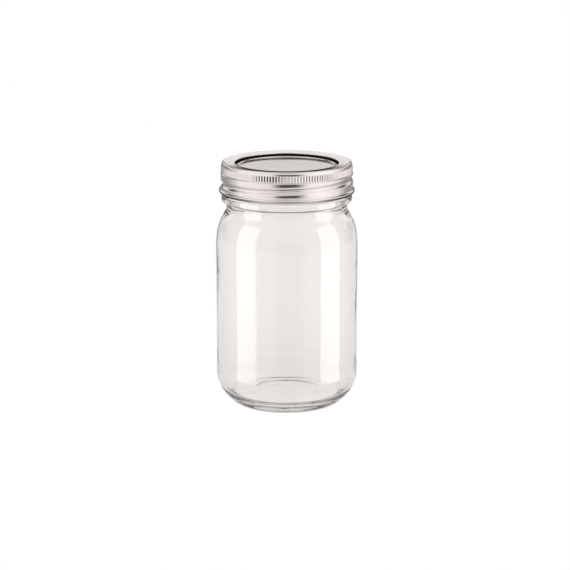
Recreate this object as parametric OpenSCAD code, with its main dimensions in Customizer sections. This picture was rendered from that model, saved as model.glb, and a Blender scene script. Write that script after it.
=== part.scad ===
// Smooth-sided glass canning jar, one pint, regular mouth, with a two-piece
// metal closure: a flat sealing disc held down by an open screw band.
// Millimetres, +Z up. The origin is the middle of the bearing ring that the
// jar stands on, and Z is the jar's axis. The front of the jar faces -Y.

/* [Glass jar] */
// Height of the glass alone, from the bearing ring to the sealing lip
jar_h = 133.25; // [125:0.05:145]
// Diameter of the plain body
body_d = 78.84; // [76:0.02:84]
// Extra diameter of the heel ring that jars knock against each other with
heel_ring = 0.56; // [0:0.02:1.2]
// Thickness of the side wall
wall = 2.3; // [1.8:0.1:3]
// Thickness of the glass in the middle of the base
floor_t = 4.8; // [3.5:0.1:6]
// Height of the hollow under the base at its centre
push_up = 0.8; // [0.5:0.1:3]
// Outer diameter of the ring that the jar stands on
bearing_d = 56; // [52:0.5:58]

/* [Jar finish] */
// Diameter of the neck and of the root of the thread
root_d = 67; // [66:0.1:67.6]
// Diameter over the glass thread
thread_d = 70.2; // [69.6:0.1:70.4]
// Bore of the mouth
mouth_d = 59.8; // [58:0.1:61]
// Diameter of the handling bead under the thread
bead_d = 72.4; // [70:0.1:73]
// Thread pitch, which the screw band shares
pitch = 6.35; // [6:0.05:6.6]
// Length of the glass thread in degrees
thread_arc = 448; // [380:4:470]

/* [Sealing disc] */
// Outer diameter of the disc over its turned-down edge
disc_d = 68.3; // [67.5:0.1:69]
// Thickness of the disc
disc_t = 0.3; // [0.2:0.05:0.4]
// Diameter of the sunken middle panel
panel_d = 53.8; // [46:0.2:55]
// Depth of the middle panel below the rim of the disc
panel_drop = 0.5; // [0.3:0.05:1.2]
// Rise of the middle panel at its centre
panel_dome = 0.05; // [0:0.05:0.4]
// Thickness of the sealing compound when the jar is closed
gasket_t = 0.9; // [0.6:0.1:1.2]

/* [Screw band] */
// Diameter over the ribs of the grip
grip_d = 73.1; // [72.8:0.1:73.6]
// Number of ribs around the grip
rib_n = 144; // [120:4:156]
// Height of the ribbed grip
grip_h = 4.2; // [3:0.1:5]
// Opening in the top of the band
opening_d = 57.4; // [56:0.1:58]
// Height of the band
band_h = 17.3; // [16.9:0.1:17.6]
// Diameter over the wall between the grip and the rolled lower edge
wall_d = 73.7; // [73.5:0.1:74]
// Diameter over the rolled lower edge
roll_d = 75.2; // [74.8:0.1:75.6]
// Thickness of the band's sheet
sheet = 0.35; // [0.3:0.05:0.4]

/* [Hidden] */
$fn = 144;

glass_c = [0.80, 0.86, 0.86, 0.45];
disc_c = [0.82, 0.80, 0.79];
band_c = [0.76, 0.74, 0.73];
seal_c = [0.62, 0.60, 0.58];

// Heights that follow from the stack: glass, compound, disc, band
fit_gap = 0.02;                       // compound to glass, at rest
seal_z = jar_h + fit_gap;             // underside of the compound
rim_z = seal_z + gasket_t - fit_gap;  // underside of the disc's rim
rim_top = rim_z + disc_t;             // top of the disc's rim
lip_z = rim_top + 0.05;               // lower end of the band's inner lip
top_z = lip_z + 2;                    // top of the band, the highest point
band_z = top_z - band_h;              // lower edge of the band

// A smooth curve through hand-placed points, each span split in n
function cr(a, b, c, d, t) =
    0.5 * (2*b + (c - a)*t + (2*a - 5*b + 4*c - d)*t*t + (3*b - a - 3*c + d)*t*t*t);
function curve(p, n = 4) = let (m = len(p) - 1) concat(
    [for (i = [0 : m - 1], j = [0 : n - 1])
        cr(p[max(i - 1, 0)], p[i], p[i + 1], p[min(i + 2, m)], j / n)],
    [p[m]]);
// Points of an arc in the profile plane, from angle a0 to a1
function arc(r, z, rad, a0, a1, n = 8) =
    [for (i = [0 : n]) let (a = a0 + (a1 - a0)*i/n) [r + rad*cos(a), z + rad*sin(a)]];

// A ridge or groove that follows the thread. Angles start at the front and
// grow towards the right, which is also the way the thread climbs. sec gives
// the outline as [radius, half height] pairs from its root to its crest, and
// the crest fades back to the root, and narrows, over the last "fade" degrees
// at each end.
function ease(t) = let (c = min(max(t, 0), 1)) c*c*(3 - 2*c);
function swell(f, f0, f1, fade) = ease((f - f0)/fade) * ease((f1 - f)/fade);
function sec_at(sec, s) = let (h = 0.35 + 0.65*s) concat(
    [for (p = sec) [sec[0][0] + (p[0] - sec[0][0])*s, -p[1]*h]],
    [for (i = [len(sec) - 1 : -1 : 0]) [sec[0][0] + (sec[i][0] - sec[0][0])*s, sec[i][1]*h]]);
module helix(z0, f0, f1, sec, fade, step = 8) {
    n = round((f1 - f0)/step);
    k = 2*len(sec);
    pts = [for (i = [0 : n]) let (f = f0 + (f1 - f0)*i/n, s = max(swell(f, f0, f1, fade), 0.02))
        for (p = sec_at(sec, s)) [p[0]*sin(f), -p[0]*cos(f), z0 + pitch*f/360 + p[1]]];
    flip = sec[1][0] < sec[0][0];
    side = [for (i = [0 : n - 1], j = [0 : k - 1]) let (a = i*k + j, b = i*k + (j + 1)%k)
        flip ? [a, a + k, b + k, b] : [a, b, b + k, a + k]];
    e0 = [for (j = [0 : k - 1]) flip ? j : k - 1 - j];
    e1 = [for (j = [0 : k - 1]) n*k + (flip ? k - 1 - j : j)];
    polyhedron(points = pts, faces = concat(side, [e0], [e1]), convexity = 10);
}

// Thread positions: where each one passes the front of the jar
groove_z = top_z - 10.5;    // groove pressed into the band
ridge_z = groove_z + 2.1;   // glass thread, just above the groove that hooks under it
ridge_f1 = 119;             // upper end of the glass thread, degrees from the front

// Outside of the glass, from the heel to the lip
body_r = body_d/2;
root_r = root_d/2;
bead_r = bead_d/2;
neck_z = band_z - 8;   // foot of the neck
heel = [[bearing_d/2, 0], [bearing_d/2 + 1.4, 0.3], [bearing_d/2 + 3.7, 1.8],
    [bearing_d/2 + 6.8, 5], [bearing_d/2 + 8.7, 7.6], [body_r - 1.1, 10.8],
    [body_r + heel_ring/2 - 0.3, 14.3], [body_r + heel_ring/2, 18], [body_r + 0.04, 23.5],
    [body_r, 30]];
shoulder = [[body_r, 84], [body_r - 0.08, 90.5], [body_r - 0.5, 96], [body_r - 1.2, 99.4],
    [body_r - 2.1, 102.4], [body_r - 3.35, 105.3], [body_r - 4.85, 107.9],
    [root_r + 0.18, neck_z - 1.6], [root_r, neck_z]];
bead = [[root_r, neck_z + 1.9], [root_r + 0.04, neck_z + 2.75], [root_r + 0.3, neck_z + 3.2], [root_r + 1, neck_z + 3.4],
    [bead_r - 0.55, neck_z + 3.5], [bead_r - 0.16, neck_z + 3.75], [bead_r - 0.03, neck_z + 4.2],
    [bead_r, neck_z + 5.4], [bead_r - 0.3, neck_z + 6.8],
    [bead_r - 1.3, neck_z + 7.5], [root_r + 0.25, neck_z + 7.95], [root_r, neck_z + 8.6]];
outside = concat(curve(heel), curve(shoulder), curve(bead, 3),
    [[root_r, jar_h - 1.2]], arc(root_r - 0.9, jar_h - 0.9, 0.9, 0, 90, 5));

// Inside of the glass, from the lip down to the floor
floor_z = push_up + floor_t;
in_r = body_r - wall;
mouth_r = mouth_d/2;
inside = concat(
    arc(mouth_r + 0.9, jar_h - 0.9, 0.9, 90, 180, 5),
    curve([[mouth_r, jar_h - 4], [mouth_r, 118], [mouth_r + 0.1, 113], [mouth_r + 1.1, 109.2],
        [in_r - 3.9, 105], [in_r - 2, 101], [in_r - 0.75, 96.5], [in_r, 88]]),
    curve([[in_r, 22], [in_r - 0.07, 16.5], [in_r - 0.72, 12.2], [in_r - 2.32, 8.9], [in_r - 4.72, 6.9],
        [30, floor_z + 0.4], [27.8, floor_z + 0.08], [24, floor_z], [12, floor_z], [0, floor_z]]));

// Underside: a flat bearing ring around a shallow dome
ring_r = bearing_d/2 - 2.2;
under = [for (q = [0, 0.15, 0.3, 0.45, 0.58, 0.7, 0.8, 0.87, 0.93, 0.97, 1])
    [ring_r*q, push_up*(1 - pow(q, 3))]];

module glass_jar() {
    color(glass_c) union() {
        rotate_extrude() polygon(concat(under, outside, inside));
        helix(ridge_z, ridge_f1 - thread_arc, ridge_f1,
            [[root_r - 0.5, 1.5], [root_r + 0.55, 1.1], [thread_d/2 - 0.15, 0.75],
             [thread_d/2, 0.35]], 24);
    }
}

// The disc: a turned-down edge, a flat rim over the compound, a step down and
// a slightly domed middle panel
module lid_disc() {
    rr = disc_d/2;
    pr = panel_d/2;
    pz = rim_top - panel_drop;
    dome = [for (i = [0 : 8]) let (q = i/8) [pr*q, pz + panel_dome*(1 - q*q)]];
    color(disc_c) rotate_extrude() polygon(concat(
        dome,
        [[pr + 0.1, pz + 0.08], [pr + 0.28, rim_top - 0.12], [pr + 0.55, rim_top]],
        arc(rr - 0.55, rim_top - 0.55, 0.55, 90, 0, 6),
        [[rr, rim_z - 0.5], [rr - disc_t, rim_z - 0.5], [rr - disc_t, rim_z - 0.2],
         [rr - disc_t - 0.2, rim_z], [pr + 1, rim_z],
         [pr + 0.75, rim_z - 0.1], [pr + 0.5, pz - disc_t + 0.15], [pr + 0.1, pz - disc_t]],
        [for (i = [7 : -1 : 0]) let (q = i/8) [pr*q, pz + panel_dome*(1 - q*q) - disc_t]]));
}

// The ring of sealing compound that lies under the rim of the disc
module sealing_gasket() {
    r0 = mouth_r - 0.5;
    r1 = disc_d/2 - disc_t - 0.25;
    color(seal_c) rotate_extrude() polygon([
        [r0 + 0.2, seal_z], [r1 - 0.15, seal_z], [r1, seal_z + 0.2], [r1, rim_z],
        [r0, rim_z], [r0, seal_z + 0.25]]);
}

// Half of the band's thread: the helical groove seen from outside, and the
// crest it makes inside, which hooks under the glass thread
wall_r = wall_d/2;
crest = [[wall_r - 0.16, 1.8], [wall_r - 0.8, 1.4], [wall_r - 1.55, 0.85], [wall_r - 1.68, 0.45]];
press = [[wall_r + 0.5, 1.95], [wall_r - 0.55, 1.1], [wall_r - 1.2, 0.55], [wall_r - 1.3, 0.25]];

module grip_ribs() {
    r = grip_d/2;
    translate([0, 0, top_z - 1.75 - grip_h]) linear_extrude(grip_h) difference() {
        polygon([for (i = [0 : rib_n - 1], s = [0, 1]) let (a = (i + s*0.5)*360/rib_n)
            [(r - 0.3*s)*cos(a), (r - 0.3*s)*sin(a)]]);
        circle(r = r - 0.5);
    }
}

module screw_band() {
    o = opening_d/2;
    g = grip_d/2 - 0.33;   // smooth wall behind the ribs
    z1 = top_z - 6.1;      // grip to thread wall
    z2 = band_z + 2.75;    // thread wall to rolled edge
    rr = 1.25;             // outer radius of the roll
    rc = roll_d/2 - rr;    // centre of the roll
    rz = band_z + rr;
    color(band_c) difference() {
        union() {
            rotate_extrude() polygon(concat(
                // inner lip, sloping top and raised outer edge
                [[o, lip_z], [o, top_z - 0.75], [o + 0.12, top_z - 0.57], [o + 0.4, top_z - 0.47]],
                [[g - 1.8, top_z - 0.25], [g - 1.45, top_z - 0.08], [g - 1.2, top_z - 0.02]],
                arc(g - 1.05, top_z - 1.05, 1.05, 90, 0, 6),
                // down the grip, out to the thread wall and down to the roll
                [[g, z1 + 0.3], [wall_r - 0.1, z1 - 0.15], [wall_r, z1 - 0.5],
                 [wall_r, z2 + 0.5], [wall_r - 0.15, z2 + 0.1]],
                arc(rc, rz, rr, 60, -90, 10),
                // back up on the inside, one sheet thickness away
                arc(rc, rz, rr - sheet, -90, 50, 9),
                [[wall_r - sheet - 0.1, z2 + 0.25], [wall_r - sheet, z2 + 0.6],
                 [wall_r - sheet, z1 - 0.55], [g - sheet, z1 + 0.15]],
                arc(g - 1.05, top_z - 1.05, 1.05 - sheet, 0, 90, 5),
                [[g - 1.75, top_z - 0.6], [o + 0.75, top_z - 0.84], [o + sheet, top_z - 1],
                 [o + sheet, lip_z]]));
            grip_ribs();
            helix(groove_z, -180, 172, crest, 45);
        }
        helix(groove_z, -178, 170, press, 45);
    }
}

glass_jar();
lid_disc();
sealing_gasket();
screw_band();
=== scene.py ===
import math

import bpy
import numpy as np
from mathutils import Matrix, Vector


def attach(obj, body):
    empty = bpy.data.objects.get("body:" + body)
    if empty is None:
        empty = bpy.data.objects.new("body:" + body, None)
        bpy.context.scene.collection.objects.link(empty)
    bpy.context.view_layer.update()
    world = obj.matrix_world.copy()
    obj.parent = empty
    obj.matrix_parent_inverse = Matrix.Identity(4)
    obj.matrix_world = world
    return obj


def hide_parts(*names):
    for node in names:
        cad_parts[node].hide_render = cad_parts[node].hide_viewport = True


# A clear glass jar with a flat metal disc under an open screw band. Metres, +Z
# up, the jar's axis on Z and its front towards -Y. Shapes below are worked out
# in millimetres and scaled as they become meshes.
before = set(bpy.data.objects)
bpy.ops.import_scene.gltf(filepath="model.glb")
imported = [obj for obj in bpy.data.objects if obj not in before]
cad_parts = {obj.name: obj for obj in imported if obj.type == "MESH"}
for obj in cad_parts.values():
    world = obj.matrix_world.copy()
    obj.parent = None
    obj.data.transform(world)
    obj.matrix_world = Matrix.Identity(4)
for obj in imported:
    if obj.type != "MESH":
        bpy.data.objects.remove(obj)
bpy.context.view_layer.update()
MM = 0.001
scene = bpy.context.scene

# ---------------------------------------------------------------- camera
TARGET = Vector((0.0, 0.0, 0.06724))
DIST, PITCH = 1.108, math.radians(13.64)
cam_data = bpy.data.cameras.new("camera")
cam = bpy.data.objects.new("camera", cam_data)
scene.collection.objects.link(cam)
cam.location = TARGET + DIST * Vector((0.0, -math.cos(PITCH), math.sin(PITCH)))
cam.rotation_euler = (math.pi / 2 - PITCH, 0.0, 0.0)
cam_data.sensor_width = 36.0
cam_data.lens = 36.0 * 1978.6 / 570
cam_data.shift_x = -1.8 / 570
cam_data.shift_y = -2.1 / 570
cam_data.clip_start, cam_data.clip_end = 0.01, 50.0
scene.camera = cam

scene.view_settings.view_transform = "Standard"
scene.view_settings.look = "None"
scene.cycles.max_bounces = 64
scene.cycles.transmission_bounces = 48
scene.cycles.glossy_bounces = 48
scene.cycles.transparent_max_bounces = 16
scene.cycles.use_denoising = True


# ---------------------------------------------------------------- profiles
def curve(p, n):
    """A smooth line through given points, each span split in n."""
    p = np.array(p, float)
    m = len(p) - 1
    out = []
    for i in range(m):
        a, b, c, d = p[max(i - 1, 0)], p[i], p[i + 1], p[min(i + 2, m)]
        for j in range(n):
            t = j / n
            out.append(0.5 * (2*b + (c - a)*t + (2*a - 5*b + 4*c - d)*t*t + (3*b - a - 3*c + d)*t**3))
    out.append(p[m])
    return [tuple(q) for q in out]


def arc(r, z, rad, a0, a1, n):
    out = []
    for i in range(n + 1):
        a = math.radians(a0 + (a1 - a0)*i/n)
        out.append((r + rad*math.cos(a), z + rad*math.sin(a)))
    return out


def line(a, b, n):
    """Points from a up to, not including, b."""
    return [(a[0] + (b[0] - a[0])*i/n, a[1] + (b[1] - a[1])*i/n) for i in range(n)]


def ease(t):
    t = np.clip(t, 0.0, 1.0)
    return t*t*(3 - 2*t)


def turned(name, R, Z, phi, closed, flip=False, caps=(None, None)):
    """A mesh from rings of points. R and Z hold a row for each profile point and
    a column for each angle, which starts at the front and grows to the right."""
    nv, nu = R.shape
    s, c = np.sin(phi), np.cos(phi)
    P = np.stack([R*s, -R*c, Z], -1).reshape(-1, 3) * MM
    verts = [P]
    rows = nv if closed else nv - 1
    i = np.arange(rows)[:, None]
    j = np.arange(nu)[None, :]
    a = i*nu + j
    b = i*nu + (j + 1) % nu
    k = (i + 1) % nv
    quads = np.stack([a, b, k*nu + (j + 1) % nu, k*nu + j], -1).reshape(-1, 4)
    if flip:
        quads = quads[:, ::-1]
    faces = quads.tolist()
    n = len(P)
    for end, z in zip((0, nv - 1), caps):
        if z is None:
            continue
        verts.append(np.array([[0.0, 0.0, z*MM]]))
        base = end*nu
        for q in range(nu):
            tri = [n, base + (q + 1) % nu, base + q] if end == 0 else [base + q, base + (q + 1) % nu, n]
            faces.append(tri[::-1] if flip else tri)
        n += 1
    me = bpy.data.meshes.new(name)
    me.from_pydata(np.concatenate(verts).tolist(), [], faces)
    me.shade_smooth()
    me.validate()
    ob = bpy.data.objects.new(name, me)
    scene.collection.objects.link(ob)
    return ob


# Heights that follow from the stack: glass, compound, disc, band
JAR_H, PITCH_MM = 133.25, 6.35
SEAL_Z = JAR_H + 0.02
RIM_Z = JAR_H + 0.9
RIM_TOP = RIM_Z + 0.3
LIP_Z = RIM_TOP + 0.05
TOP_Z = LIP_Z + 2.0
BAND_Z = TOP_Z - 17.3
GROOVE_Z = TOP_Z - 10.5
RIDGE_Z = GROOVE_Z + 2.1


def along(phi, z, z0, f0, f1, fade):
    """For a helix that passes the front at z0: the height above its nearest turn
    and how far it has swelled there, from 0 to 1."""
    best = np.full(np.broadcast(phi, z).shape, 1e3)
    amount = np.zeros_like(best)
    deg = np.degrees(phi)
    for k in range(-2, 3):
        f = deg + 360*k
        u = z - (z0 + PITCH_MM*f/360)
        s = ease((f - f0)/fade)*ease((f1 - f)/fade)
        near = (np.abs(u) < np.abs(best)) & (s > 0)
        best = np.where(near, u, best)
        amount = np.where(near, s, amount)
    return best, amount


def wavy(phi, z, seed):
    """A slow, smooth unevenness between about -1 and 1, the same each run."""
    out = 0.0
    for k, (n, w, a) in enumerate([(2, 0.021, 0.34), (3, 0.034, 0.26), (5, 0.047, 0.18), (7, 0.083, 0.13), (11, 0.121, 0.09)]):
        q = seed*1.7 + k*2.3
        out = out + a*np.sin(n*phi + q + 1.1*np.sin(w*z + q*0.6))*np.cos(w*z*1.7 + q*1.9)
    return out


# ---------------------------------------------------------------- glass jar
def glass_jar():
    body, root, bead = 39.42, 33.5, 36.2
    nz = BAND_Z - 8
    under = [(25.8*q, 0.8*(1 - q**3.0)) for q in (0.1, 0.2, 0.3, 0.4, 0.5, 0.6, 0.68, 0.75, 0.81, 0.86, 0.9, 0.935, 0.965, 0.985)]
    under += [(25.6, 0.03), (25.8, 0)]
    heel = curve([[28, 0], [29.4, 0.3], [31.7, 1.8], [34.8, 5], [36.7, 7.6], [38.32, 10.8],
                  [39.4, 14.3], [39.7, 18], [39.46, 23.5], [39.42, 30]], 6)
    shoulder = curve([[39.42, 84], [39.34, 90.5], [38.92, 96], [38.22, 99.4], [37.32, 102.4],
                      [36.07, 105.3], [34.57, 107.9], [33.68, nz - 1.6], [33.5, nz]], 6)
    neck = curve([[root + 0.04, nz + 2.75], [root + 0.3, nz + 3.2], [root + 1.0, nz + 3.4], [bead - 0.55, nz + 3.5],
                  [bead - 0.16, nz + 3.75], [bead - 0.03, nz + 4.2], [bead, nz + 5.4], [bead - 0.3, nz + 6.8],
                  [bead - 1.3, nz + 7.5], [root + 0.25, nz + 7.95], [root, nz + 8.6]], 5)
    mouth = 29.9
    fz = 5.6
    inn = curve([[mouth, JAR_H - 4], [mouth, 121], [mouth + 0.18, 116.5], [mouth + 0.85, 112.3], [mouth + 2.1, 108.4],
                 [33.55, 104.6], [35.1, 100.8], [36.3, 96.4], [36.98, 91], [37.12, 84]], 5)
    low = curve([[37.12, 22], [37.05, 16.5], [36.4, 12.2], [34.8, 8.9], [32.4, 6.9], [30.0, 6.0], [27.8, 5.68], [24, fz],
                 [16, fz], [9, fz]], 5)
    parts = []   # (radius, height, where): 0 under, 1 outside, 2 lip, 3 inside

    def add(points, where):
        parts.extend((r, z, where) for r, z in points)
    add(under, 0)
    add(line((25.8, 0), (28, 0), 2)[1:], 0)
    add(heel, 1)
    add(line((body, 30), (body, 84), 16)[1:], 1)
    add(shoulder, 1)
    add(neck, 1)
    add(line(neck[-1], (root, JAR_H - 1.2), 44)[1:], 1)
    add([(root, JAR_H - 1.2)] + arc(root - 0.9, JAR_H - 0.9, 0.9, 0, 90, 6), 2)
    add(arc(mouth + 0.9, JAR_H - 0.9, 0.9, 90, 180, 6), 2)
    add(inn, 3)
    add(line((37.12, 84), (37.12, 22), 19)[1:], 3)
    add(low, 3)
    add([(6, fz), (3, fz)], 3)

    phi = np.linspace(-math.pi, math.pi, 288, endpoint=False)
    extra = [s*math.pi/2 + math.radians(d) for s in (-1, 1) for d in (-0.9, -0.45, 0.45, 0.9)]
    phi = np.sort(np.concatenate([phi, extra]))[None, :]
    r = np.array([p[0] for p in parts])[:, None]
    z = np.array([p[1] for p in parts])[:, None]
    where = np.array([p[2] for p in parts])[:, None]
    R = r + 0*phi
    Z = z + 0*phi

    # outside: the thread, the faint mould seams at the sides, a trace of unevenness
    u, s = along(phi, Z, RIDGE_Z, 119 - 448, 119, 24)
    ridge = 1.6*ease((1.35 - np.abs(u))/1.05)*s
    thread = (where == 1) & (z > 119.9) & (z < 132)
    R = R + np.where(thread, ridge, 0)
    out = (where == 1) & (z > 6) & (z < 109)
    seam = 0.07*np.exp(-((np.abs(phi) - math.pi/2)/math.radians(0.55))**2)*ease((z - 6)/6)*ease((109 - z)/4)
    smooth = 0.05*wavy(phi, z, 3.0)*ease((z - 22)/20)*ease((100 - z)/16)
    R = R + np.where(out, np.minimum(seam, 39.69 - r) + smooth, 0)

    # inside: the wall isn't even, as in any blown jar
    ins = where == 3
    wall = 0.16*wavy(phi, z, 0.0) + 0.07*np.sin(3*phi + 0.8)*np.cos(z*0.045)
    R = R + np.where(ins, wall*ease((z - 9)/16)*ease((112 - z)/12), 0)
    # the floor has a low plunger mark in its middle
    floor = ins & (r < 22) & (z < 7)
    mark = 0.2*np.exp(-(r/6.5)**2)
    Z = Z + np.where(floor, mark + 0.05*wavy(phi, r*3, 5.0)*ease(r/20), 0)

    top = fz + 0.2
    ob = turned("glass", np.minimum(R, 39.68), Z, phi[0], False, caps=(0.8, top))
    return ob


# ---------------------------------------------------------------- screw band
RIBS, PER_RIB = 144, 6
SHEET = 0.35


def screw_band():
    o, g, wall = 28.6, 36.03, 36.6
    rr = 1.25
    rc, rz = 37.6 - rr, BAND_Z + rr
    # the sheet is folded under at the opening, and its hem holds the disc down
    hem = [(o + 3.7, LIP_Z), (o + 3.2, LIP_Z + 0.03), (o + 2.95, LIP_Z + 0.3), (o + 2.85, LIP_Z + 0.75),
           (o + 2.6, LIP_Z + 0.9), (o + 1.4, LIP_Z + 0.9), (o + 0.25, LIP_Z + 0.9), (o + 0.07, LIP_Z + 0.96),
           (o, LIP_Z + 1.1), (o + 0.01, LIP_Z + 1.25)]
    path = hem + [(r, TOP_Z - d) for r, d in (
        (o + 0.04, 0.6), (o + 0.14, 0.51), (o + 0.35, 0.465), (o + 0.9, 0.44), (30.6, 0.395), (31.9, 0.345), (33.1, 0.3),
        (33.9, 0.27), (34.4, 0.25), (34.62, 0.21), (34.78, 0.12), (34.92, 0.06), (35.1, 0.05), (35.25, 0.07), (35.4, 0.13),
        (35.54, 0.23), (35.65, 0.37), (35.75, 0.57), (35.84, 0.82), (35.93, 1.06), (35.99, 1.28), (g - 0.005, 1.42), (g, 1.56))]
    path += [(g, TOP_Z - d) for d in (1.75, 1.95, 2.08, 2.22, 2.4, 3.2, 4.2, 5.2, 5.55, 5.75, 5.88)]
    path += [(g + 0.08, TOP_Z - 6.0), (g + 0.3, TOP_Z - 6.12), (wall - 0.1, TOP_Z - 6.28), (wall - 0.02, TOP_Z - 6.5)]
    zt, zb = TOP_Z - 6.8, BAND_Z + 3.1
    path += line((wall, zt), (wall, zb), 19)
    path += [(wall - 0.01, zb), (wall - 0.08, zb - 0.25), (wall - 0.1, zb - 0.42)]
    path += arc(rc, rz, rr, 50, -8, 5) + arc(rc, rz, rr, -16, -150, 9)
    r = np.array([p[0] for p in path])[:, None]
    z = np.array([p[1] for p in path])[:, None]
    n = RIBS*PER_RIB
    phi = (np.linspace(-math.pi, math.pi, n, endpoint=False))[None, :]
    Z = z + 0*phi
    # the thread, pressed in as one helical groove
    u, s = along(phi, Z, GROOVE_Z, -178, 170, 45)
    w = 2.15
    groove = np.where(np.abs(u) < w, 0.5 + 0.5*np.cos(math.pi*np.clip(u/w, -1, 1)), 0)*s
    zone = ease((TOP_Z - 6.6 - z)/1.2)*ease((z - BAND_Z - 2.4)/0.7)
    base = r + 0*phi
    R0 = base - 1.25*groove*zone
    # the ribs of the grip, on the outside only
    # rise steeply and fall gently to the right, as the knurling wheel left them
    rib = np.array([1.0, 0.8, 0.56, 0.29, 0.0, 0.5])[np.arange(n) % PER_RIB]
    lift = ease((TOP_Z - 2.02 - z)/0.3)*ease((z - (TOP_Z - 5.95))/0.3)
    R = R0 + 0.36*rib[None, :]*lift

    # the inside face, one sheet away along the normal, from behind the hem on
    dr = np.gradient(R0, axis=0)
    dz = np.gradient(Z, axis=0)
    ln = np.hypot(dr, dz)
    Ri = R0 + SHEET*dz/ln
    Zi = Z - SHEET*dr/ln
    m = next(i for i, p in enumerate(path) if p[0] > o + 4.1)
    sel = np.unique(np.concatenate([np.arange(m, len(path), 3), [len(path) - 1]]))
    fold = np.array([(o + 3.95, LIP_Z + 0.12), (o + 3.75, LIP_Z + 0.7), (o + 3.8, LIP_Z + 1.3)])
    Ri = np.concatenate([fold[:, :1] + 0*phi, Ri[sel]])
    Zi = np.concatenate([fold[:, 1:] + 0*phi, Zi[sel]])
    Rall = np.concatenate([R, Ri[::-1]])
    Zall = np.concatenate([Z, Zi[::-1]])
    ob = turned("band", Rall, Zall, phi[0], True, flip=True)
    # the inside face of the sheet is duller tin; the fold under the opening and the lower half of the bottom roll get
    # a near-black tin that is painted shade
    row = np.arange(len(ob.data.polygons))//n
    inside = (row < 8) | (row >= len(path) - 13)
    ob.data.polygons.foreach_set("material_index", np.where(inside, np.where(row >= len(path), 2, 1), 0).astype(np.int32))
    return ob


# ---------------------------------------------------------------- disc and gasket
def lid_disc():
    rr, pr, t = 34.15, 26.55, 0.3
    pz = RIM_TOP - 0.5
    dome = lambda q: pz + 0.03*(1 - q*q)
    top = [(pr*q, dome(q)) for q in (0.06, 0.14, 0.24, 0.36, 0.48, 0.6, 0.7, 0.8, 0.88, 0.94, 0.975)]
    # a rounded step up to the flat rim
    top += [(pr - 0.06, pz), (pr + 0.02, pz + 0.03), (pr + 0.07, pz + 0.1)]
    top += arc(pr + 0.55, RIM_TOP - 0.36, 0.36, 160, 90, 8)
    top += line((pr + 0.55, RIM_TOP), (rr - 0.55, RIM_TOP), 8)[1:]
    top += arc(rr - 0.55, RIM_TOP - 0.55, 0.55, 90, 0, 6)
    edge = [(rr, RIM_Z - 0.3), (rr - 0.02, RIM_Z - 0.47), (rr - 0.15, RIM_Z - 0.5), (rr - 0.28, RIM_Z - 0.46), (rr - 0.3, RIM_Z - 0.3),
            (rr - 0.35, RIM_Z - 0.08), (rr - 0.55, RIM_Z)]
    low = line((rr - 0.55, RIM_Z), (pr + 0.85, RIM_Z), 5)[1:]
    low += arc(pr + 0.8, RIM_Z - 0.3, 0.3, 90, 150, 4) + arc(pr, pz + 0.15, 0.45, -20, -80, 4)
    low += [(pr*q, dome(q) - t) for q in (0.975, 0.9, 0.8, 0.66, 0.5, 0.35, 0.2, 0.08)]
    pts = top + edge + low
    phi = np.linspace(-math.pi, math.pi, 240, endpoint=False)
    R = np.array([p[0] for p in pts])[:, None] + 0*phi[None, :]
    Z = np.array([p[1] for p in pts])[:, None] + 0*phi[None, :]
    return turned("disc", R, Z, phi, False, flip=True, caps=(dome(0), dome(0) - t))


def sealing_gasket():
    r0, r1 = 29.4, 33.6
    pts = [(r0 + 0.2, SEAL_Z), (r0 + 0.6, SEAL_Z), (31, SEAL_Z), (32.4, SEAL_Z), (r1 - 0.3, SEAL_Z)]
    pts += arc(r1 - 0.2, SEAL_Z + 0.2, 0.2, -90, 0, 4)
    pts += [(r1, RIM_Z - 0.2), (r1, RIM_Z), (32.4, RIM_Z), (31, RIM_Z), (r0, RIM_Z), (r0, SEAL_Z + 0.5)]
    pts += [(r0, SEAL_Z + 0.25), (r0 + 0.06, SEAL_Z + 0.07)]
    phi = np.linspace(-math.pi, math.pi, 200, endpoint=False)
    R = np.array([p[0] for p in pts])[:, None] + 0*phi[None, :]
    Z = np.array([p[1] for p in pts])[:, None] + 0*phi[None, :]
    return turned("gasket", R, Z, phi, True)


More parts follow.
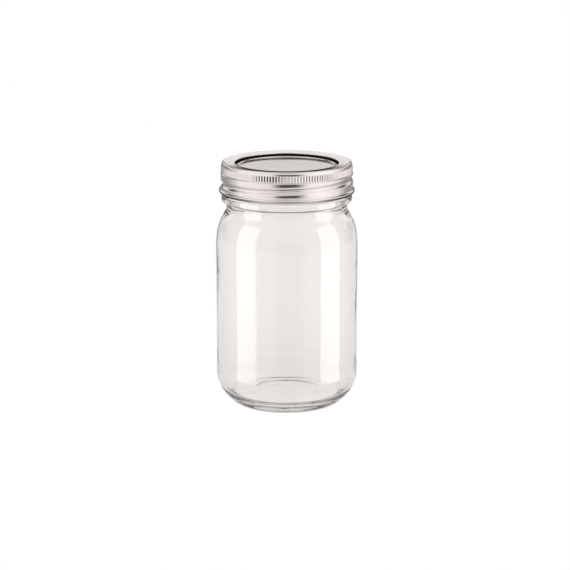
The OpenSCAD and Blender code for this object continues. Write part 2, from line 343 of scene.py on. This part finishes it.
# ---------------------------------------------------------------- materials
class Nodes:
    """Short hand for building a material's nodes."""

    def __init__(self, name):
        self.m = bpy.data.materials.new(name)
        self.m.use_nodes = True
        self.t = self.m.node_tree
        self.t.nodes.clear()
        self.out = self.add("ShaderNodeOutputMaterial")
        self.obj = self.add("ShaderNodeTexCoord").outputs["Object"]

    def add(self, kind, **props):
        n = self.t.nodes.new(kind)
        for k, v in props.items():
            setattr(n, k, v)
        return n

    def link(self, a, b):
        self.t.links.new(a, b)

    def noise(self, scale, detail=3.0, rough=0.5, distort=0.0, coord=None):
        """Noise over the object's own coordinates, stretched by a scale per axis."""
        mp = self.add("ShaderNodeMapping")
        mp.inputs["Scale"].default_value = scale
        self.link(coord or self.obj, mp.inputs["Vector"])
        n = self.add("ShaderNodeTexNoise")
        n.inputs["Scale"].default_value = 1.0
        n.inputs["Detail"].default_value = detail
        n.inputs["Roughness"].default_value = rough
        n.inputs["Distortion"].default_value = distort
        self.link(mp.outputs["Vector"], n.inputs["Vector"])
        return n.outputs["Fac"]

    def ramp(self, fac, stops):
        r = self.add("ShaderNodeValToRGB")
        e = r.color_ramp.elements
        e[0].position, e[0].color = stops[0]
        e[1].position, e[1].color = stops[-1]
        for pos, col in stops[1:-1]:
            x = e.new(pos)
            x.color = col
        self.link(fac, r.inputs["Fac"])
        return r.outputs["Color"]

    def scaled(self, fac, lo, hi):
        r = self.add("ShaderNodeMapRange")
        r.inputs["To Min"].default_value = lo
        r.inputs["To Max"].default_value = hi
        r.inputs["From Min"].default_value = 0.3
        r.inputs["From Max"].default_value = 0.7
        self.link(fac, r.inputs["Value"])
        return r.outputs["Result"]

    def math(self, op, a, b):
        n = self.add("ShaderNodeMath", operation=op)
        for k, v in enumerate((a, b)):
            if isinstance(v, (int, float)):
                n.inputs[k].default_value = v
            else:
                self.link(v, n.inputs[k])
        return n.outputs["Value"]

    def bump(self, height, strength, distance):
        b = self.add("ShaderNodeBump")
        b.inputs["Strength"].default_value = strength
        b.inputs["Distance"].default_value = distance
        self.link(height, b.inputs["Height"])
        return b.outputs["Normal"]


def glass_material():
    k = Nodes("clear_glass")
    b = k.add("ShaderNodeBsdfPrincipled")
    b.inputs["Base Color"].default_value = (0.945, 0.922, 0.909, 1)
    b.inputs["Transmission Weight"].default_value = 1.0
    b.inputs["IOR"].default_value = 1.515
    slow = k.noise((55, 55, 30), 2.0, 0.45, 0.3)
    k.link(k.bump(slow, 0.18, 0.0012), b.inputs["Normal"])
    k.link(k.scaled(k.noise((160, 160, 160), 2.0), 0.0, 0.012), b.inputs["Roughness"])
    k.link(b.outputs["BSDF"], k.out.inputs["Surface"])
    v = k.add("ShaderNodeVolumeAbsorption")
    v.inputs["Color"].default_value = (0.25, 0.22, 0.19, 1)
    v.inputs["Density"].default_value = 7.0
    k.link(v.outputs["Volume"], k.out.inputs["Volume"])
    return k.m


def tin_material(name, lines, dark, light, rough, wall=None, lit_front=None):
    """Bright tinplate: fine rolling lines, faint clouding and uneven gloss. wall
    is (height, extra roughness) where the sheet below it was drawn and is duller,
    and the last argument a paler colour painted on the front, towards -Y, as a
    painted highlight where a shaded part faces the lit front."""
    k = Nodes(name)
    b = k.add("ShaderNodeBsdfPrincipled")
    b.inputs["Metallic"].default_value = 1.0
    cloud = k.noise((70, 70, 90), 4.0, 0.6, 0.4)
    fine = k.noise(lines, 3.0, 0.65)
    mix = k.math("ADD", k.math("MULTIPLY", cloud, 0.6), k.math("MULTIPLY", fine, 0.4))
    colour = k.ramp(mix, [(0.36, dark), (0.64, light)])
    # painted highlight: towards the front (-Y) the colour blends to a paler one, as if lit there
    if lit_front:
        at = k.add("ShaderNodeSeparateXYZ")
        k.link(k.obj, at.inputs["Vector"])
        m = k.add("ShaderNodeMapRange")
        m.interpolation_type = "SMOOTHSTEP"
        m.inputs["From Min"].default_value = -0.029
        m.inputs["From Max"].default_value = -0.0365
        k.link(at.outputs["Y"], m.inputs["Value"])
        x = k.add("ShaderNodeMixRGB")
        k.link(m.outputs["Result"], x.inputs["Fac"])
        k.link(colour, x.inputs["Color1"])
        x.inputs["Color2"].default_value = lit_front
        colour = x.outputs["Color"]
    k.link(colour, b.inputs["Base Color"])
    gloss = k.scaled(k.math("ADD", k.math("MULTIPLY", fine, 0.5), k.math("MULTIPLY", cloud, 0.5)),
                     rough[0], rough[1])
    if wall:
        sep = k.add("ShaderNodeSeparateXYZ")
        k.link(k.obj, sep.inputs["Vector"])
        m = k.add("ShaderNodeMapRange")
        m.inputs["From Min"].default_value = wall[0] + 0.0004
        m.inputs["From Max"].default_value = wall[0] - 0.0004
        m.inputs["To Min"].default_value = 0.0
        m.inputs["To Max"].default_value = wall[1]
        k.link(sep.outputs["Z"], m.inputs["Value"])
        gloss = k.math("ADD", gloss, m.outputs["Result"])
    k.link(gloss, b.inputs["Roughness"])
    grit = k.noise((2600, 2600, 2600), 2.0, 0.5)
    height = k.math("ADD", k.math("MULTIPLY", fine, 0.75), k.math("MULTIPLY", grit, 0.25))
    k.link(k.bump(height, 0.22, 0.00005), b.inputs["Normal"])
    k.link(b.outputs["BSDF"], k.out.inputs["Surface"])
    return k.m


def compound_material():
    k = Nodes("sealing_compound")
    b = k.add("ShaderNodeBsdfPrincipled")
    n = k.noise((420, 420, 420), 4.0, 0.6)
    k.link(k.ramp(n, [(0.35, (0.40, 0.385, 0.365, 1)), (0.7, (0.50, 0.48, 0.46, 1))]), b.inputs["Base Color"])
    k.link(k.scaled(n, 0.5, 0.68), b.inputs["Roughness"])
    k.link(k.bump(n, 0.3, 0.0001), b.inputs["Normal"])
    k.link(b.outputs["BSDF"], k.out.inputs["Surface"])
    return k.m


glass = glass_jar()
glass.data.materials.append(glass_material())
band = screw_band()
band.data.materials.append(tin_material("tinplate_band", (60, 60, 1700), (0.67, 0.625, 0.605, 1), (0.755, 0.71, 0.69, 1), (0.035, 0.07), (0.1311, 0.11)))
# painted shade: near-black tin for the fold under the opening and the underside of the bottom roll
band.data.materials.append(tin_material("tinplate_painted_shade", (60, 60, 1700), (0.15, 0.143, 0.138, 1), (0.21, 0.2, 0.193, 1), (0.26, 0.36), lit_front=(0.5, 0.475, 0.46, 1)))
band.data.materials.append(tin_material("tinplate_back", (60, 60, 1700), (0.6, 0.57, 0.555, 1), (0.68, 0.65, 0.635, 1), (0.3, 0.4)))
disc = lid_disc()
disc.data.materials.append(tin_material("tinplate_disc", (40, 2200, 40), (0.62, 0.575, 0.555, 1), (0.69, 0.645, 0.625, 1), (0.10, 0.16)))
gasket = sealing_gasket()
gasket.data.materials.append(compound_material())

for ob, body, node, slot in ((glass, "jar", "glass_jar", "clear_glass"), (band, "band", "screw_band", "tinplate_band"),
                             (disc, "lid", "lid_disc", "tinplate_disc"), (gasket, "lid", "sealing_gasket", "sealing_compound")):
    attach(ob, body)
    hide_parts(node)
glass.visible_shadow = False

# ---------------------------------------------------------------- floor, world, lights
floor_mesh = bpy.data.meshes.new("floor")
floor_mesh.from_pydata([(-4, -4, -5e-5), (4, -4, -5e-5), (4, 4, -5e-5), (-4, 4, -5e-5)], [], [(0, 1, 2, 3)])
floor = bpy.data.objects.new("floor", floor_mesh)
scene.collection.objects.link(floor)
fm = bpy.data.materials.new("pale_floor")
fm.use_nodes = True
ft = fm.node_tree
ft.nodes.clear()
em = ft.nodes.new("ShaderNodeEmission")
em.inputs["Color"].default_value = (1, 1, 1, 1)
em.inputs["Strength"].default_value = 1.0
# painted shadow: around the jar the floor glows at 0.94, full again by 25 cm out; camera rays still see it full white
pos = ft.nodes.new("ShaderNodeTexCoord")
far = ft.nodes.new("ShaderNodeVectorMath")
far.operation = "LENGTH"
ft.links.new(pos.outputs["Object"], far.inputs[0])
painted_floor_shadow = ft.nodes.new("ShaderNodeMapRange")
painted_floor_shadow.interpolation_type = "SMOOTHSTEP"
painted_floor_shadow.inputs["From Min"].default_value = 0.05
painted_floor_shadow.inputs["From Max"].default_value = 0.25
painted_floor_shadow.inputs["To Min"].default_value = 0.94
painted_floor_shadow.inputs["To Max"].default_value = 1.0
ft.links.new(far.outputs["Value"], painted_floor_shadow.inputs["Value"])
direct = ft.nodes.new("ShaderNodeLightPath")
either = ft.nodes.new("ShaderNodeMath")
either.operation = "MAXIMUM"
ft.links.new(painted_floor_shadow.outputs["Result"], either.inputs[0])
ft.links.new(direct.outputs["Is Camera Ray"], either.inputs[1])
ft.links.new(either.outputs["Value"], em.inputs["Strength"])
fo = ft.nodes.new("ShaderNodeOutputMaterial")
ft.links.new(em.outputs["Emission"], fo.inputs["Surface"])
floor_mesh.materials.append(fm)
floor.visible_glossy = False

world = bpy.data.worlds.new("studio")
scene.world = world
world.use_nodes = True
wt = world.node_tree
wt.nodes.clear()
W = lambda kind: wt.nodes.new(kind)


def wmath(op, a, b=0.0, clamp=False):
    n = W("ShaderNodeMath")
    n.operation = op
    n.use_clamp = clamp
    for i, v in enumerate((a, b)):
        if isinstance(v, (int, float)):
            n.inputs[i].default_value = v
        else:
            wt.links.new(v, n.inputs[i])
    return n.outputs["Value"]


def wstep(x, lo, hi):
    """0 below lo, 1 above hi, smooth between."""
    n = W("ShaderNodeMapRange")
    n.interpolation_type = "SMOOTHSTEP"
    n.inputs["From Min"].default_value = lo
    n.inputs["From Max"].default_value = hi
    wt.links.new(x, n.inputs["Value"])
    return n.outputs["Result"]


def wramp(x, lo, hi, stops, top=1.6):
    """A smooth line through (position, level) stops."""
    m = W("ShaderNodeMapRange")
    m.inputs["From Min"].default_value = lo
    m.inputs["From Max"].default_value = hi
    wt.links.new(x, m.inputs["Value"])
    r = W("ShaderNodeValToRGB")
    r.color_ramp.interpolation = "EASE"
    e = r.color_ramp.elements
    e[0].position, e[1].position = 0.0, 1.0
    for k, (pos, v) in enumerate(stops):
        el = e[0] if k == 0 else e[len(e) - 1] if k == len(stops) - 1 else e.new((pos - lo)/(hi - lo))
        el.color = (v/top, v/top, v/top, 1)
    wt.links.new(m.outputs["Result"], r.inputs["Fac"])
    return wmath("MULTIPLY", r.outputs["Color"], top)


# What the metal and the glass reflect: a white table, tall white walls to the left
# and right, a white backdrop with a dark gap under it and dark beside it, and a
# dark room in front.
tc = W("ShaderNodeTexCoord")
sep = W("ShaderNodeSeparateXYZ")
wt.links.new(tc.outputs["Generated"], sep.inputs["Vector"])
dx, dy, dz = sep.outputs["X"], sep.outputs["Y"], sep.outputs["Z"]
turn = wmath("ARCTAN2", dx, wmath("MULTIPLY", dy, -1.0))    # 0 at the front, growing to the right
turn = wmath("MULTIPLY", turn, 180/math.pi)
rise = wmath("MULTIPLY", wmath("ARCSINE", dz), 180/math.pi)          # degrees above the horizon
front = wramp(rise, -90, 90, [(-90, .95), (-30, .95), (-22, .85), (-17, .35), (-12.5, .07), (0, .04), (6, .1), (14, .55),
                              (28, .85), (60, .85), (76, .6), (90, .5)])
sides = wramp(rise, -90, 90, [(-90, .95), (-25, .95), (-12, 1.0), (44, 1.0), (60, .85), (76, .6), (90, .5)])
above = [(12, .98), (20, 1.15), (36, 1.2), (50, 1.0), (66, .6), (90, .5)]
back = wramp(rise, -90, 90, [(-90, .95), (-14, .95), (-11.5, .6), (-8, .08), (7.4, .04), (9.3, .93)] + above)
flags = wramp(rise, -90, 90, [(-90, .95), (-60, .95), (-48, .65), (-40, .42), (-18, .42), (-10, .42), (7.4, .3), (9.3, .93)] + above)
walls = wramp(turn, -180, 180, [(-180, .9), (-103, .9), (-88, 1.22), (-60, 1.2), (-30, 1.1), (30, 1.1), (46, 1.27),
                                (62, 1.34), (80, 1.32), (96, 1.15), (112, .95), (180, .9)])
ahead = wmath("SUBTRACT", 1.0, wstep(wmath("ABSOLUTE", wmath("SUBTRACT", turn, 3.0)), 11, 35))
behind = wstep(wmath("ABSOLUTE", turn), 98, 132)
straight = wstep(wmath("ABSOLUTE", turn), 159, 169)
back = wmath("ADD", wmath("MULTIPLY", back, straight), wmath("MULTIPLY", flags, wmath("SUBTRACT", 1.0, straight)))
level = wmath("MULTIPLY", sides, walls)
corners = wmath("MULTIPLY", wmath("MULTIPLY", wstep(wmath("ABSOLUTE", turn), 110, 122), wstep(wmath("ABSOLUTE", turn), 165, 152)),
                wmath("MULTIPLY", wstep(rise, 17, 25), wstep(rise, 72, 60)))
level = wmath("ADD", wmath("MULTIPLY", level, wmath("SUBTRACT", 1.0, ahead)), wmath("MULTIPLY", front, ahead))
level = wmath("ADD", wmath("MULTIPLY", level, wmath("SUBTRACT", 1.0, behind)), wmath("MULTIPLY", back, behind))
level = wmath("MULTIPLY", level, wmath("SUBTRACT", 1.0, wmath("MULTIPLY", corners, 0.92)))
lp = W("ShaderNodeLightPath")
# through the glass the backdrop is the same plain white as beside it
clear = wmath("ADD", 0.42, wmath("MULTIPLY", wstep(wmath("ABSOLUTE", turn), 128, 156), 0.56))
seen = lp.outputs["Is Transmission Ray"]
level = wmath("ADD", wmath("MULTIPLY", level, wmath("SUBTRACT", 1.0, seen)), wmath("MULTIPLY", clear, seen))
level = wmath("MAXIMUM", level, lp.outputs["Is Camera Ray"])
bg = W("ShaderNodeBackground")
bg.inputs["Color"].default_value = (1.0, 0.985, 0.975, 1)
wt.links.new(level, bg.inputs["Strength"])
wo = W("ShaderNodeOutputWorld")
wt.links.new(bg.outputs["Background"], wo.inputs["Surface"])


def softbox(name, azimuth, dist, z0, z1, width, strength, soft=(0.1, 0.1, 0.1, 0.3)):
    """An upright light from z0 to z1 whose edges fade out. soft gives the part of
    its width or height that fades at its left, right, foot and head."""
    d = bpy.data.lights.new(name, "AREA")
    d.shape = "RECTANGLE"
    d.size, d.size_y = width, z1 - z0
    a = math.radians(azimuth)
    ob = bpy.data.objects.new(name, d)
    scene.collection.objects.link(ob)
    ob.location = (dist*math.sin(a), -dist*math.cos(a), (z0 + z1)/2)
    ob.rotation_euler = (math.pi/2, 0, a)
    # radiance of an area light is power over area and pi squared times its area
    d.energy = strength*math.pi*width*(z1 - z0)
    d.use_nodes = True
    t = d.node_tree
    t.nodes.clear()
    at = t.nodes.new("ShaderNodeSeparateXYZ")
    t.links.new(t.nodes.new("ShaderNodeNewGeometry").outputs["Parametric"], at.inputs["Vector"])
    level = None
    for axis, lo, hi in (("X", 0.0, soft[0]), ("X", 1.0, 1.0 - soft[1]), ("Y", 0.0, soft[2]), ("Y", 1.0, 1.0 - soft[3])):
        m = t.nodes.new("ShaderNodeMapRange")
        m.interpolation_type = "SMOOTHSTEP"
        m.inputs["From Min"].default_value = lo
        m.inputs["From Max"].default_value = hi
        t.links.new(at.outputs[axis], m.inputs["Value"])
        if level is None:
            level = m.outputs["Result"]
        else:
            x = t.nodes.new("ShaderNodeMath")
            x.operation = "MULTIPLY"
            t.links.new(level, x.inputs[0])
            t.links.new(m.outputs["Result"], x.inputs[1])
            level = x.outputs["Value"]
    e = t.nodes.new("ShaderNodeEmission")
    t.links.new(level, e.inputs["Strength"])
    o = t.nodes.new("ShaderNodeOutputLight")
    t.links.new(e.outputs["Emission"], o.inputs["Surface"])
    ob.visible_camera = False
    ob.visible_transmission = False
    ob.light_linking.receiver_collection = on_glass
    return ob


on_glass = bpy.data.collections.new("lit_by_softboxes")
on_glass.objects.link(glass)


softbox("softbox_left", -65.5, 0.35, -0.085, 0.40, 0.262, 3.4, (0.08, 0.16, 0.05, 0.25))
softbox("softbox_right", 72.5, 0.35, -0.085, 0.40, 0.262, 3.4, (0.1, 0.14, 0.05, 0.25))
